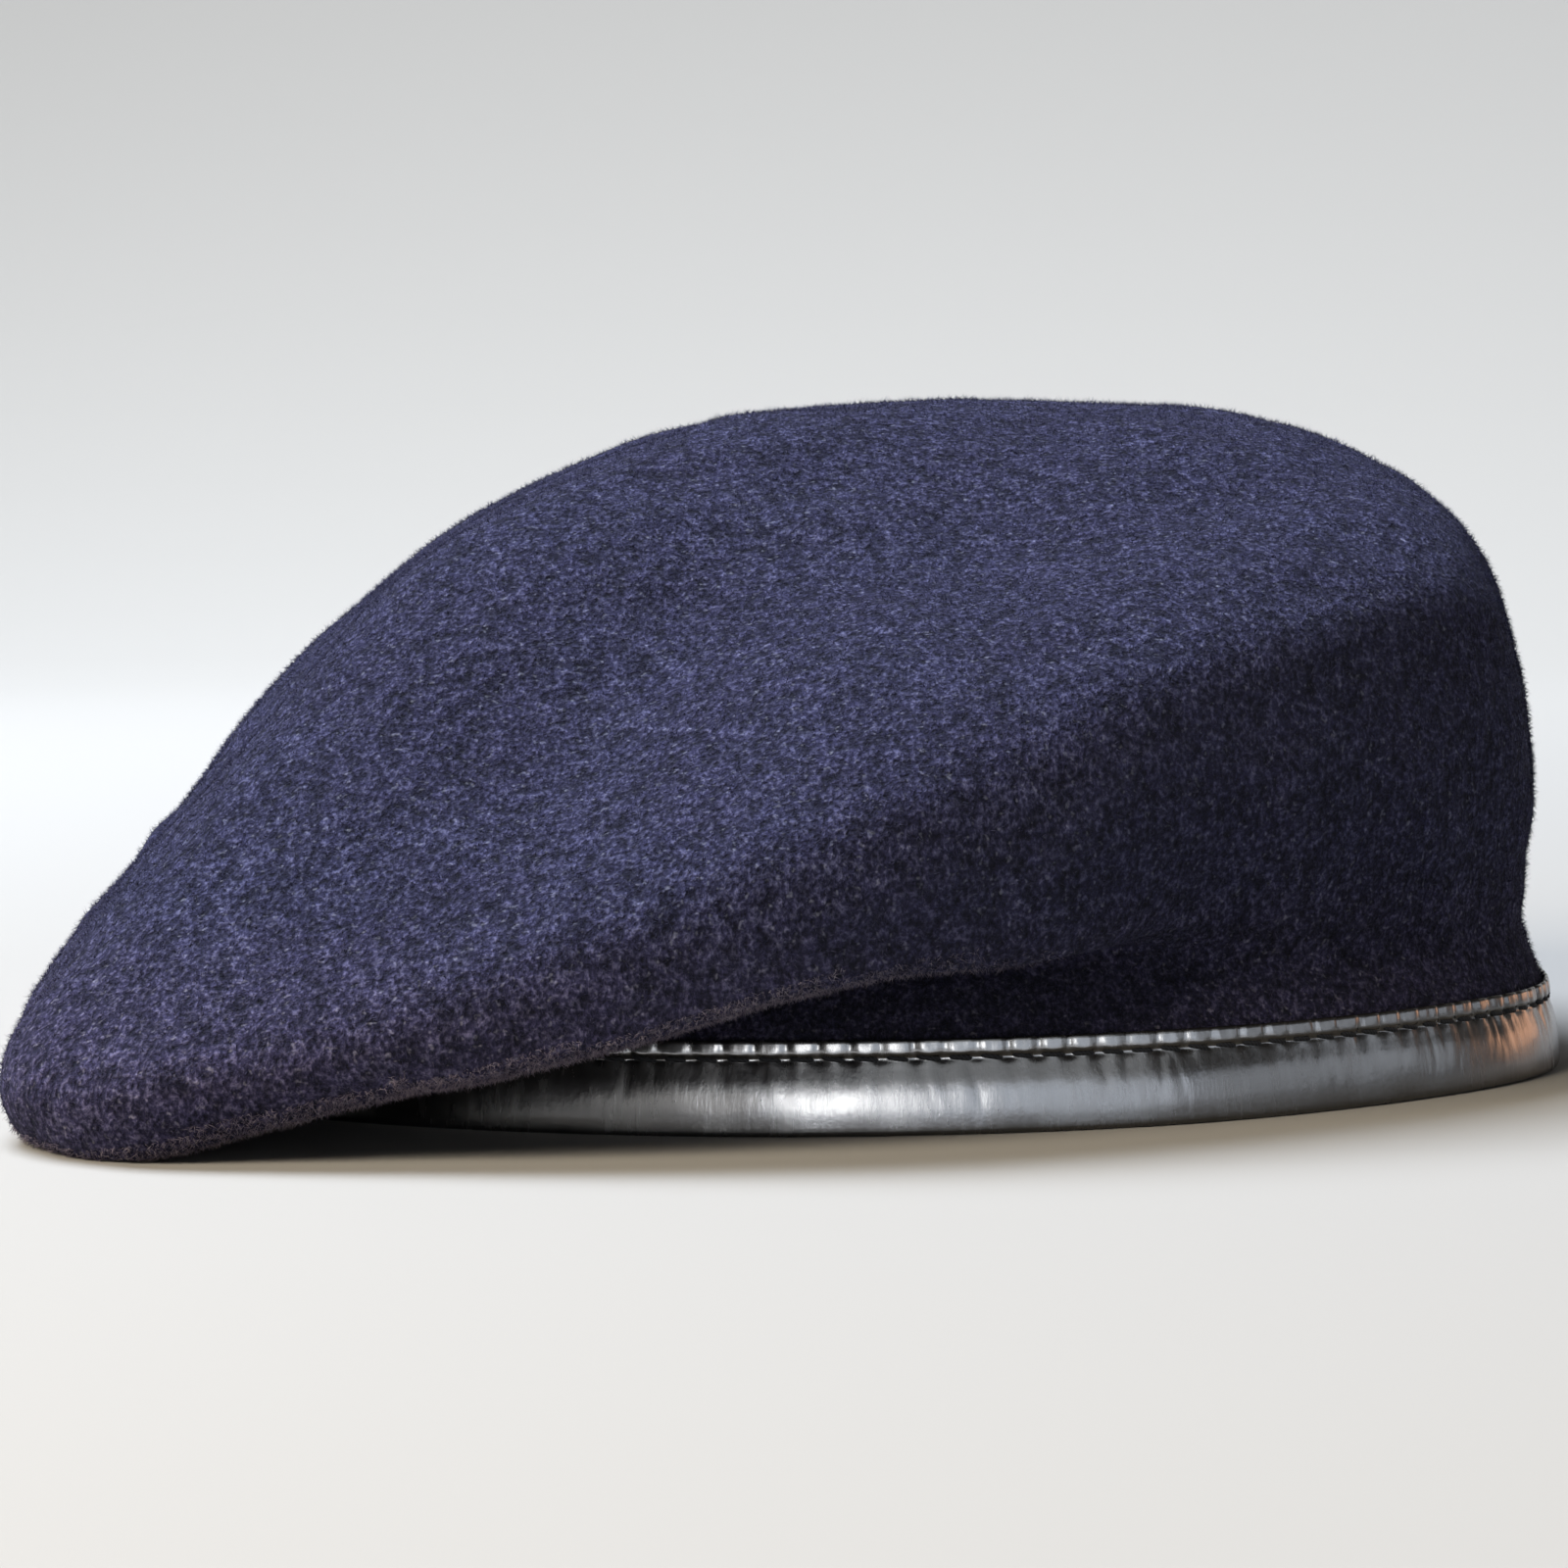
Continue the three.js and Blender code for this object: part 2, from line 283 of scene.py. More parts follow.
def lumps(points, size, rng, waves=28):
    """Smooth random heights of about unit size, with bumps about size millimetres across."""
    heights = np.zeros(points.shape[:-1])
    for _ in range(waves):
        direction = rng.normal(size=3)
        direction /= np.linalg.norm(direction)
        pace = 2 * math.pi / (2 * size * rng.uniform(*WAVE_SPREAD))
        heights += np.sin(points @ direction * pace + rng.uniform(0, 2 * math.pi))
    return heights * math.sqrt(2 / waves)


def within(values, span, ends):
    """1 inside a span, falling evenly to 0 over a distance from each of its ends."""
    return np.clip((values - span[0]) / ends, 0, 1) * np.clip((span[1] - values) / ends, 0, 1)


# The crown
ROUND_STEPS = 400
SPAN_STEPS = [6, 8, 8, 8, 12, 12, 14, 20, 20, 10, 6]  # from each of a section's points to the next
INNER_EVERY = 3  # the inner face takes each third row of the outer one
RESTING = 0.05  # the least height, where the felt lies flat on the floor
LUMP_DEPTH = {"broad": 0.35, "fine": 0.12}
LUMP_SIZE = {"broad": 24, "fine": 7}
# How the roll between top and wall is smoothed. Places are counted in a section's points, turns in degrees.
EASE = {"passes": 90, "share": 0.5, "places": (4.3, 7.7), "turns": (215, 352), "ends": (0.6, 18)}
# Where the felt stays even: by the headband, which holds it, and right at the summit
EVEN = {"mouth": 0.3, "mouth_fade": 0.7, "summit_fade": 0.25}
FOLD_STEPS = 5  # for each point of a fold's line
FOLDS = [  # soft folds as lines over the felt, in mm before PLACE. A height below 0 is a hollow.
    {
        "height": 0.8,
        "width": 9,
        "line": [(2, -50, 65), (28, -61, 64), (44, -54, 68), (62, -37, 74), (84, -9, 78)],
    },
    {"height": -1.1, "width": 10, "line": [(-3, -9, 83), (15, -11, 82), (35, -29, 76), (51, -24, 78)]},
    {"height": 0.8, "width": 4.5, "line": [(62, -68, 61), (72, -57, 64), (84, -43, 66), (90, -34, 63.5)]},
    {"height": 0.5, "width": 5, "line": [(60, -73, 45), (60.5, -71, 33), (60, -68, 22)]},
    {"height": 0.6, "width": 5, "line": [(77, -58, 41), (82, -51, 31), (84, -45, 20)]},
    {
        "height": 0.9,
        "width": 1.8,
        "line": [
            (-54, -114, 8.6), (-48, -115, 10.4), (-32, -115.2, 14.2),
            (-13.5, -113, 18.8), (-5, -112, 21.2), (7, -108, 23.5),
        ],
    },
]


def crown_places():
    """Where each row of the crown lies along a section, counted in the section's points."""
    places = [0.0]
    for span, steps in enumerate(SPAN_STEPS):
        places += [span + (i + 1) / steps for i in range(steps)]
    return np.array(places[:-1])  # the summit itself is one point of its own


def eased(grid, az, places):
    """The grid with a rounder roll between its top and its wall, where the crown hangs down."""
    place_end, turn_end = EASE["ends"]
    turned = within(np.degrees(az), EASE["turns"], turn_end)
    share = turned[:, None, None] * within(places, EASE["places"], place_end)[None, :, None] * EASE["share"]
    for _ in range(EASE["passes"]):
        middle = (grid[:, 2:] + grid[:, :-2]) / 2
        grid[:, 1:-1] += share[:, 1:-1] * (middle - grid[:, 1:-1])
    return grid


def fold_heights(grid):
    """How far the soft folds raise each point of a grid."""
    heights = np.zeros(grid.shape[:2])
    for fold in FOLDS:
        knots = np.array(fold["line"], float)
        line = through(knots[None], np.linspace(0, len(knots) - 1, FOLD_STEPS * len(knots)))[0]
        nearest = np.full(grid.shape[:2], np.inf)
        for start, end in zip(line[:-1], line[1:]):
            along = end - start
            share = np.clip((grid - start) @ along / (along @ along), 0, 1)
            away = np.linalg.norm(grid - start - share[..., None] * along, axis=-1)
            nearest = np.minimum(nearest, away)
        heights += fold["height"] * np.exp(-((nearest / fold["width"]) ** 2))
    return heights


def crown_face(az, places, rng):
    """The crown's outer face as a grid, with the felt's soft folds and unevenness."""
    grid = eased(through(section_points(az), places), az, places)
    grid += normals_of(grid) * fold_heights(grid)[..., None]
    normal = normals_of(grid)
    height = LUMP_DEPTH["broad"] * lumps(grid, LUMP_SIZE["broad"], rng)
    height += LUMP_DEPTH["fine"] * lumps(grid, LUMP_SIZE["fine"], rng)
    beyond_band = np.clip((places - EVEN["mouth"]) / EVEN["mouth_fade"], 0, 1)
    before_summit = np.clip((places[-1] - places) / EVEN["summit_fade"], 0, 1)
    return grid + normal * (height * beyond_band * before_summit)[..., None]


def thickened(grid):
    """The felt's inner face behind an outer one, closer in a tight roll."""
    inward = -normals_of(grid)
    before = np.concatenate([2 * grid[:, :1] - grid[:, 1:2], grid[:, :-1]], axis=1)
    after = np.concatenate([grid[:, 1:], 2 * grid[:, -1:] - grid[:, -2:-1]], axis=1)
    arrive, leave = grid - before, after - grid
    a, b = (np.maximum(np.linalg.norm(v, axis=-1, keepdims=True), TINY) for v in (arrive, leave))
    curl = ((leave / b - arrive / a) * inward).sum(-1, keepdims=True) * 2 / (a + b)
    depth = np.minimum(FELT, TIGHT_SHARE / np.maximum(curl, TINY))
    return grid + inward * depth


def make_crown(material, rng):
    """The felt's two faces, joined at the lower edge. Returned with the outer one, where the nap grows."""
    az = np.arange(ROUND_STEPS) * 2 * math.pi / ROUND_STEPS
    face = crown_face(az, crown_places(), rng)
    edge = mouth_point(az, 0, LEATHER + 2 * FIT_GAP)[:, None]
    outer_rows = np.concatenate([edge, face], axis=1)
    inner_rows = thickened(outer_rows[:, ::INNER_EVERY])
    summits = np.array([SUMMIT, SUMMIT - [0, 0, FELT]])
    points = np.concatenate([outer_rows.reshape(-1, 3), inner_rows.reshape(-1, 3), summits])
    points[:, 2] = np.maximum(points[:, 2], RESTING)
    outer = np.arange(outer_rows[..., 0].size).reshape(outer_rows.shape[:2])
    inner = outer.size + np.arange(inner_rows[..., 0].size).reshape(inner_rows.shape[:2])
    lower_edge = np.stack([inner[:, 0], outer[:, 0]], axis=1)
    quads = [grid_faces(outer), grid_faces(inner)[:, FLIPPED], grid_faces(lower_edge)]
    top = outer.size + inner.size
    fans = [fan_faces(outer[:, -1], top), fan_faces(inner[:, -1], top + 1)[:, [1, 0, 2]]]
    crown = mesh_object("crown_felt", points, [*quads, *fans], material)
    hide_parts("crown")
    return crown, face


# The nap: short pointed fibre ends that stand and lean on the felt. Along the droop's lower edge there are
# paler ones too, a painted light rim where that edge would catch light from below.
FIBRES = 49000
NAP_PIECES = 3
# Lift is how far a fibre stands up for the 1 that it leans over, and sunk how deep its foot is in the felt.
FIBRE = {"length": (0.45, 1.25), "thick": (0.06, 0.13), "lift": (0.25, 1.6), "sunk": 0.1, "lowest": 0.1}
# The painted light rim's stretch: its turns in degrees, how far its ends fade, and its height from the edge
# up.
LIT_RIM = {"fibres": 7000, "length": (0.45, 1.2), "turns": (216, 290), "ends": 26, "height": 2.2}
FIBRE_CORNERS = [0, 2 * math.pi / 3, 4 * math.pi / 3]
FIBRE_FACES = np.array([[0, 2, 1], [0, 1, 3], [1, 2, 3], [2, 0, 3]])


def lit_rim_places(middles, facing):
    """How much each face takes the painted light rim, 1 on the droop's lower edge and 0 away from it.

    Rows run from the mouth outwards, and the crease is where a row's face looks straightest down.
    """
    rows = np.arange(middles.shape[1])
    beyond_crease = rows >= facing.argmin(axis=1)[:, None]
    lowest = np.where(beyond_crease, middles[..., 2], np.inf).argmin(axis=1)
    edges = middles[np.arange(len(middles)), lowest]
    turn = np.degrees(np.arctan2(edges[:, 1], edges[:, 0])) % 360
    drooping = within(turn, LIT_RIM["turns"], LIT_RIM["ends"])
    outside = rows >= lowest[:, None]
    low = middles[..., 2] < edges[:, 2:] + LIT_RIM["height"]
    return drooping[:, None] * outside * low


def nap_fibres(grid, count, lengths, rng, lit_rim=False):
    """Points and faces of fibres spread evenly over a grid's faces, each one a closed spike."""
    following = np.roll(grid, -1, axis=0)
    corners = (grid[:, :-1], following[:, :-1], following[:, 1:], grid[:, 1:])
    a, b, c, d = (corner.reshape(-1, 3) for corner in corners)
    areas = np.linalg.norm(np.cross(c - a, d - b), axis=-1)
    # the paler fibres of the painted light rim grow only along the droop's lower edge
    if lit_rim:
        middles = ((a + b + c + d) / 4).reshape(len(grid), -1, 3)
        facing = unit(np.cross(c - a, d - b))[:, 2].reshape(len(grid), -1)
        areas = areas * lit_rim_places(middles, facing).ravel()
    picked = rng.choice(len(areas), size=count, p=areas / areas.sum())
    a, b, c, d = a[picked], b[picked], c[picked], d[picked]
    u, v = rng.uniform(size=(2, count, 1))
    root = (a * (1 - u) + b * u) * (1 - v) + (d * (1 - u) + c * u) * v
    normal = unit(np.cross(c - a, d - b))
    lean = unit(np.cross(normal, rng.normal(size=(count, 3))))
    along = unit(lean + normal * rng.uniform(*FIBRE["lift"], size=(count, 1)))
    side = unit(np.cross(along, lean + normal))
    across = np.cross(along, side)
    length = rng.uniform(*lengths, size=(count, 1))
    thick = rng.uniform(*FIBRE["thick"], size=(count, 1)) / 2
    foot = root - along * FIBRE["sunk"]
    base = [foot + thick * (side * math.cos(turn) + across * math.sin(turn)) for turn in FIBRE_CORNERS]
    points = np.stack([*base, root + along * length], axis=1)
    points[..., 2] = np.maximum(points[..., 2], FIBRE["lowest"])
    faces = FIBRE_FACES + 4 * np.arange(count)[:, None, None]
    return points, faces.reshape(-1, 3)


def make_nap(grid, material, lit_rim_material, rng):
    """The nap in several pieces, and the paler fibres of the painted light rim in one."""
    pieces = []
    for number in range(NAP_PIECES):
        points, faces = nap_fibres(grid, FIBRES, FIBRE["length"], rng)
        pieces.append(mesh_object(f"felt_nap_{number + 1}", points, [faces], material))
    points, faces = nap_fibres(grid, LIT_RIM["fibres"], LIT_RIM["length"], rng, lit_rim=True)
    pieces.append(mesh_object("felt_nap_lit_rim", points, [faces], lit_rim_material))
    return pieces


# The headband: leather folded over the mouth's edge
STITCH_PITCH = 4.0
STITCH_Z = 9.7
STEPS_PER_STITCH = 10
STITCH_DROP = 0.9  # the stitch line is lower on the inside
SKIN_GAP = 0.06  # between leather and felt, where the stitches pull them together
OUTER_LEAF = {  # from the upper edge down to the fold, as distances outside the felt's face
    "z": [
        12.05, 11.95, 11.75, 11.3, 10.8, 10.3, 10.05, 9.7, 9.35, 9.0, 8.4, 7.7,
        6.8, 5.9, 5.0, 4.1, 3.2, 2.4, 1.7, 1.0, 0.5, 0.18, 0.0,
    ],
    "out": [
        0.5, 0.7, 0.83, 0.92, 1.0, 1.06, 0.98, 0.78, 0.82, 0.92, 1.09, 1.31,
        1.58, 1.78, 1.94, 2.07, 2.18, 2.25, 2.29, 2.32, 2.31, 2.16, 1.5,
    ],
}
INSIDE = -FELT - FIT_GAP - LEATHER
INNER_LEAF = [  # from the fold up to the inner edge and back down between leather and felt, as out and height
    (-1.0, 0.0),
    (INSIDE + 1.3, 0.0),
    (INSIDE + 0.5, 0.35),
    (INSIDE + 0.1, 1.2),
    (INSIDE, 2.2),
    (INSIDE, 4.5),
    (INSIDE, 7.0),
    (INSIDE + 0.1, 8.8),
    (INSIDE + 0.1, 9.9),
    (INSIDE + 0.35, INNER_LEAF_HEIGHT),
    (INSIDE + LEATHER - 0.2, INNER_LEAF_HEIGHT),
    (-FELT - SKIN_GAP, INNER_LEAF_HEIGHT - 0.3),
    (-FELT - SKIN_GAP, LEATHER + FIT_GAP),
    (SKIN_GAP, LEATHER + FIT_GAP),
    (SKIN_GAP, BAND_HEIGHT - 0.4),
]
INNER_FACE = {"out": -FELT - LEATHER / 2, "z": 1}  # the leaf's open face lies inside this and above it
# How the stitches pull the leather in: along their groove, in the leaf below it and as notches at the holes
PULL = {
    "tight": (0.5, 1.4),
    "groove": 0.22,
    "groove_height": 0.6,
    "below": 0.1,
    "below_height": 2.6,
    "notch": 0.32,
    "notch_power": 5,
    "notch_rise": 3,
    "edge_up": 0.1,
}
SWELL = {"share": 0.07, "size": 40}
DENTS = {"depth": 0.035, "size": 8}
BAND_WAVE_SPREAD = (0.6, 1.8)
# Small creases that run down from the stitches. Reach is how far they run.
PUCKERS = {
    "per_stitch": 1.7,
    "width": (0.3, 0.9),
    "depth": (0.02, 0.1),
    "slant": (-0.35, 0.35),
    "reach": (1.5, 7.5),
}
OUTLINE_STEPS = 7200


def outline_turns(count):
    """Directions, in radians, that share the headband's outer outline evenly, and the outline's length."""
    fine = np.linspace(0, 2 * math.pi, OUTLINE_STEPS + 1)
    line = mouth_point(fine, LEATHER, 0)
    length = np.concatenate([[0], np.cumsum(np.linalg.norm(np.diff(line, axis=0), axis=1))])
    return np.interp(np.arange(count) / count * length[-1], length, fine), length[-1]


def waves_along(along, girth, size, rng, waves=24):
    """Smooth random heights round the headband, with bumps about size millimetres long."""
    heights = np.zeros(len(along))
    for _ in range(waves):
        turns = max(1, round(girth / (2 * size * rng.uniform(*BAND_WAVE_SPREAD))))
        heights += np.sin(along / girth * turns * 2 * math.pi + rng.uniform(0, 2 * math.pi))
    return heights * math.sqrt(2 / waves)


def uneven_leather(along, girth, stitches, rng):
    """What the stitches and the leather itself do round the headband, a value for each direction."""
    tight = np.repeat(rng.uniform(*PULL["tight"], size=stitches), STEPS_PER_STITCH)
    phase = (np.arange(len(along)) / STEPS_PER_STITCH) % 1
    near_hole = 0.5 + 0.5 * np.cos(2 * math.pi * phase)  # 1 at a hole and 0 in the middle of a stitch
    swell = 1 + SWELL["share"] * waves_along(along, girth, SWELL["size"], rng)
    dents = DENTS["depth"] * waves_along(along, girth, DENTS["size"], rng)
    number = round(stitches * PUCKERS["per_stitch"])
    puckers = [rng.uniform(0, girth, size=number)]
    puckers += [rng.uniform(*PUCKERS[key], size=number) for key in ("width", "depth", "slant", "reach")]
    return {
        "pull": near_hole * tight,
        "notch": near_hole ** PULL["notch_power"] * tight,
        "swell": swell,
        "dents": dents,
        "puckers": puckers,
    }


def pucker_depths(along, girth, below, puckers):
    """How deep the small creases are, at a distance below the stitch line."""
    place, width, depth, slant, reach = puckers
    offset = (along[:, None] - place - slant * below + girth / 2) % girth - girth / 2
    fade = np.exp(-((max(below, 0) / reach) ** 2))
    return (depth * fade * np.exp(-((offset / width) ** 2))).sum(axis=1)


def outer_leaf_rows(az, along, girth, uneven):
    """Rows of points down the outer leaf, two for each step of its table."""
    knots = np.arange(len(OUTER_LEAF["z"]))
    halves = np.linspace(0, knots[-1], 2 * len(knots) - 1)
    heights = np.interp(halves, knots, OUTER_LEAF["z"])
    reaches = np.interp(halves, knots, OUTER_LEAF["out"])
    rows = []
    for height, reach in zip(heights, reaches):
        below = STITCH_Z - height
        groove = PULL["groove"] * math.exp(-((below / PULL["groove_height"]) ** 2))
        slack = PULL["below"] * math.exp(-((below / PULL["below_height"]) ** 2)) if below > 0 else 0
        edge = np.clip(-below / (BAND_HEIGHT - STITCH_Z), 0, 1)
        middle = math.sin(math.pi * min(height / BAND_HEIGHT, 1))
        out = reach * (uneven["swell"] if below > 0 else 1) - (groove + slack) * uneven["pull"]
        notch = PULL["notch"] * min(edge * PULL["notch_rise"], 1) * uneven["notch"]
        out = out - notch + uneven["dents"] * middle
        out = out - pucker_depths(along, girth, below, uneven["puckers"])
        up = -PULL["edge_up"] * edge * uneven["notch"]
        rows.append(mouth_point(az, FIT_GAP - SKIN_GAP + out, height + up))
    return rows


def inner_leaf_rows(az, uneven):
    """Rows of points from the fold up the inner leaf and down again between leather and felt."""
    rows = []
    for out, height in INNER_LEAF:
        if out < INNER_FACE["out"] and height > INNER_FACE["z"]:
            near = math.exp(-(((height - STITCH_Z + STITCH_DROP) / PULL["groove_height"]) ** 2))
            out = out + PULL["groove"] / 2 * near * uneven["pull"] + uneven["dents"]
        rows.append(mouth_point(az, out, height))
    return rows


def make_headband(material, thread, rng):
    """The folded leather, as one closed ring of a closed section, and the thread of its two seams."""
    girth = outline_turns(1)[1]
    stitches = round(girth / STITCH_PITCH)
    count = stitches * STEPS_PER_STITCH
    az = outline_turns(count)[0]
    along = np.arange(count) / count * girth
    uneven = uneven_leather(along, girth, stitches, rng)
    grid = np.stack(outer_leaf_rows(az, along, girth, uneven) + inner_leaf_rows(az, uneven), axis=1)
    numbers = np.arange(grid[..., 0].size).reshape(grid.shape[:2])
    closed = np.concatenate([numbers, numbers[:, :1]], axis=1)
    band = mesh_object("headband_leather", grid, [grid_faces(closed)[:, FLIPPED]], material)
    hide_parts("headband")
    seams = [make_stitches(name, az, stitches, *place, thread, rng) for name, place in SEAMS.items()]
    return [band, *seams]


# The thread: short lengths between the holes, on both sides of the headband
THREAD = {
    "thick": 0.66,
    "share": 0.8,  # the stitch's share of its pitch
    "uneven": (0.92, 1.06),
    "slant": 0.1,
    "tilt": 0.07,
    "dip": 0.34,  # how far its ends are sunk into the leather
    "dip_power": 3,
    "end_power": 6,
    "end_least": 0.05,
}
THREAD_SIDES = 8
THREAD_STEPS = 8
SEAMS = {  # out and height of the thread's middle
    "stitches_outside": (FIT_GAP + 0.66, STITCH_Z - 0.1),
    "stitches_inside": (INSIDE + 0.02, STITCH_Z - STITCH_DROP),
}


def stitch_faces():
    """Triangles of one stitch: its rings of points come first, then the points at its two ends."""
    last_ring = THREAD_STEPS * THREAD_SIDES
    start_point, end_point = last_ring + THREAD_SIDES, last_ring + THREAD_SIDES + 1
    faces = []
    for k in range(THREAD_SIDES):
        following = (k + 1) % THREAD_SIDES
        for a in range(0, last_ring, THREAD_SIDES):
            b = a + THREAD_SIDES
            faces.append([a + k, b + k, b + following])
            faces.append([a + k, b + following, a + following])
        faces.append([start_point, k, following])
        faces.append([end_point, last_ring + following, last_ring + k])
    return np.array(faces)


def make_stitches(name, az, stitches, out, z, material, rng):
    """Short lengths of thread between the holes, sunk into the leather at both ends."""
    t = np.linspace(-0.5, 0.5, THREAD_STEPS + 1)
    from_middle = 2 * np.abs(t)
    fullness = np.clip(1 - from_middle ** THREAD["end_power"], THREAD["end_least"], 1)
    radii = THREAD["thick"] / 2 * np.sqrt(fullness)
    sides = np.arange(THREAD_SIDES) * 2 * math.pi / THREAD_SIDES
    turns = np.concatenate([az, [2 * math.pi]])
    outward = 1 if out > 0 else -1
    depth = out - outward * THREAD["dip"] * from_middle ** THREAD["dip_power"]
    points = []
    for number in range(stitches):
        middle = (number + 0.5) * STEPS_PER_STITCH
        places = middle + t * STEPS_PER_STITCH * THREAD["share"] * rng.uniform(*THREAD["uneven"])
        here = np.interp(places, np.arange(len(turns)), turns)
        slope = rng.uniform(-THREAD["tilt"], THREAD["tilt"]) - outward * THREAD["slant"]
        centre = mouth_point(here, depth, z + slope * t * STITCH_PITCH)
        forward = np.gradient(centre, axis=0)
        forward /= np.linalg.norm(forward, axis=1, keepdims=True)
        side = np.cross(forward, [0.0, 0.0, 1.0])
        side /= np.linalg.norm(side, axis=1, keepdims=True)
        above = np.cross(side, forward)
        ring = side[:, None] * np.cos(sides)[None, :, None] + above[:, None] * np.sin(sides)[None, :, None]
        tube = centre[:, None] + ring * radii[:, None, None]
        points.append(np.concatenate([tube.reshape(-1, 3), centre[:1], centre[-1:]]))
    faces = stitch_faces() + len(points[0]) * np.arange(stitches)[:, None, None]
    return mesh_object(name, np.concatenate(points), [faces.reshape(-1, 3)], material)


# Materials
MIX_FIRST, MIX_SECOND, MIX_RESULT = 6, 7, 2  # a Mix node's sockets for colours


class Nodes:
    """A material's nodes, added and joined by name."""

    def __init__(self, name):
        self.material = bpy.data.materials.new(name)
        self.material.use_nodes = True
        self.tree = self.material.node_tree
        self.shader = self.tree.nodes["Principled BSDF"]

    def add(self, kind, values=None, **settings):
        """A new node with its settings and its inputs' values."""
        node = self.tree.nodes.new(kind)
        for key, value in settings.items():
            setattr(node, key, value)
        for key, value in (values or {}).items():
            node.inputs[key].default_value = value
        return node

    def join(self, start, end):
        self.tree.links.new(start, end)

    def places(self):
        return self.add("ShaderNodeTexCoord").outputs["Object"]

    def stretched(self, scale):
        """Places scaled along each axis, so that a pattern on them is drawn out."""
        node = self.add("ShaderNodeMapping")
        node.inputs["Scale"].default_value = scale
        self.join(self.places(), node.inputs["Vector"])
        return node.outputs["Vector"]

    def noise(self, scale, detail=2.0, rough=0.5, vector=None):
        """A noise pattern. Scale is about the number of its bumps in a metre."""
        node = self.add("ShaderNodeTexNoise", {"Scale": scale, "Detail": detail, "Roughness": rough})
        self.join(vector or self.places(), node.inputs["Vector"])
        return node.outputs["Fac"]

    def ramp(self, factor, stops):
        """A colour for each factor, between stops of a position and a colour."""
        node = self.add("ShaderNodeValToRGB")
        elements = node.color_ramp.elements
        while len(elements) < len(stops):
            elements.new(0.5)
        for element, (position, color) in zip(elements, stops):
            element.position = position
            element.color = (*color, 1)
        self.join(factor, node.inputs["Fac"])
        return node.outputs["Color"]

    def grey(self, factor, low, high, start=0.3, end=0.7):
        """A number that goes from low to high as the factor goes from start to end."""
        values = {"From Min": start, "From Max": end, "To Min": low, "To Max": high}
        node = self.add("ShaderNodeMapRange", values)
        self.join(factor, node.inputs["Value"])
        return node.outputs["Result"]

    def blended(self, factor, first, second, kind="MIX"):
        """Two colours in one, mixed or by another kind of blending."""
        node = self.add("ShaderNodeMix", data_type="RGBA", blend_type=kind)
        if isinstance(factor, float):
            node.inputs["Factor"].default_value = factor
        else:
            self.join(factor, node.inputs["Factor"])
        self.join(first, node.inputs[MIX_FIRST])
        self.join(second, node.inputs[MIX_SECOND])
        return node.outputs[MIX_RESULT]

    def bumped(self, layers):
        """Heights in metres, each with its own strength, one on top of the other."""
        normal = None
        for height, strength, distance in layers:
            node = self.add("ShaderNodeBump", {"Strength": strength, "Distance": distance})
            self.join(height, node.inputs["Height"])
            if normal is not None:
                self.join(normal, node.inputs["Normal"])
            normal = node.outputs["Normal"]
        self.join(normal, self.shader.inputs["Normal"])

    def set(self, **values):
        """Constant values on the shader's own sockets."""
        for key, value in values.items():
            self.shader.inputs[key.replace("_", " ")].default_value = value


# Painted light: the felt is made warmer and lighter low down, standing in for warm light from below.
# Heights are in metres.
LOW_WARM_LIGHT = {"heights": (0.010, 0.030), "tint": (1.42, 1.24, 1.14)}


def painted_low_light(nodes):
    """The tint of painted warm light that makes the felt warmer and lighter low down."""
    split = nodes.add("ShaderNodeSeparateXYZ")
    nodes.join(nodes.places(), split.inputs["Vector"])
    low = nodes.grey(split.outputs["Z"], 1.0, 0.0, *LOW_WARM_LIGHT["heights"])
    return nodes.ramp(low, [(0.0, (1, 1, 1)), (1.0, LOW_WARM_LIGHT["tint"])])


FELT_TONES = [(0.32, (0.003, 0.003, 0.0075)), (0.5, (0.0145, 0.0147, 0.0365)), (0.67, (0.054, 0.056, 0.103))]
FELT_CLUMPS = [(0.35, (0.38, 0.38, 0.38)), (0.65, (1.58, 1.58, 1.58))]
FELT_PATCHES = [(0.3, (0.92, 0.88, 0.92)), (0.7, (1.05, 1.06, 1.07))]
PALE_FLECKS = [(0.64, (0, 0, 0)), (0.8, (0.08, 0.085, 0.11))]


def felt_material():
    nodes = Nodes("felt_wool")
    brushed = nodes.stretched((1, 0.65, 0.85))
    patches = nodes.noise(45, 3.0, 0.6)
    clumps = nodes.noise(480, 3.0, 0.6, brushed)
    flecks = nodes.noise(1550, 3.0, 0.6, brushed)
    sparse = nodes.noise(1100, 1.0, 0.5)
    ground = nodes.ramp(flecks, FELT_TONES)
    tinted = nodes.blended(1.0, ground, nodes.ramp(patches, FELT_PATCHES), "MULTIPLY")
    toned = nodes.blended(1.0, tinted, nodes.ramp(clumps, FELT_CLUMPS), "MULTIPLY")
    fresh = nodes.blended(1.0, toned, nodes.ramp(sparse, PALE_FLECKS), "ADD")
    # the painted warm light low down is multiplied into the colour last
    nodes.join(nodes.blended(1.0, fresh, painted_low_light(nodes), "MULTIPLY"), nodes.shader.inputs["Base Color"])
    nodes.join(nodes.grey(flecks, 0.85, 1.0), nodes.shader.inputs["Roughness"])
    nodes.set(Sheen_Weight=0.05, Sheen_Roughness=0.5, Sheen_Tint=(0.42, 0.46, 0.75, 1))
    nodes.set(Specular_IOR_Level=0.05)
    nodes.bumped([(clumps, 0.7, 0.0014), (flecks, 0.9, 0.0008)])
    return nodes.material


NAP_TONES = [(0.34, (0.006, 0.006, 0.0155)), (0.52, (0.0185, 0.0188, 0.048)), (0.72, (0.064, 0.066, 0.112))]
# Paler tones for the fibres along the droop's lower edge: a painted light rim
LIT_RIM_TONES = [(0.34, (0.075, 0.071, 0.105)), (0.52, (0.15, 0.142, 0.195)), (0.72, (0.24, 0.23, 0.29))]


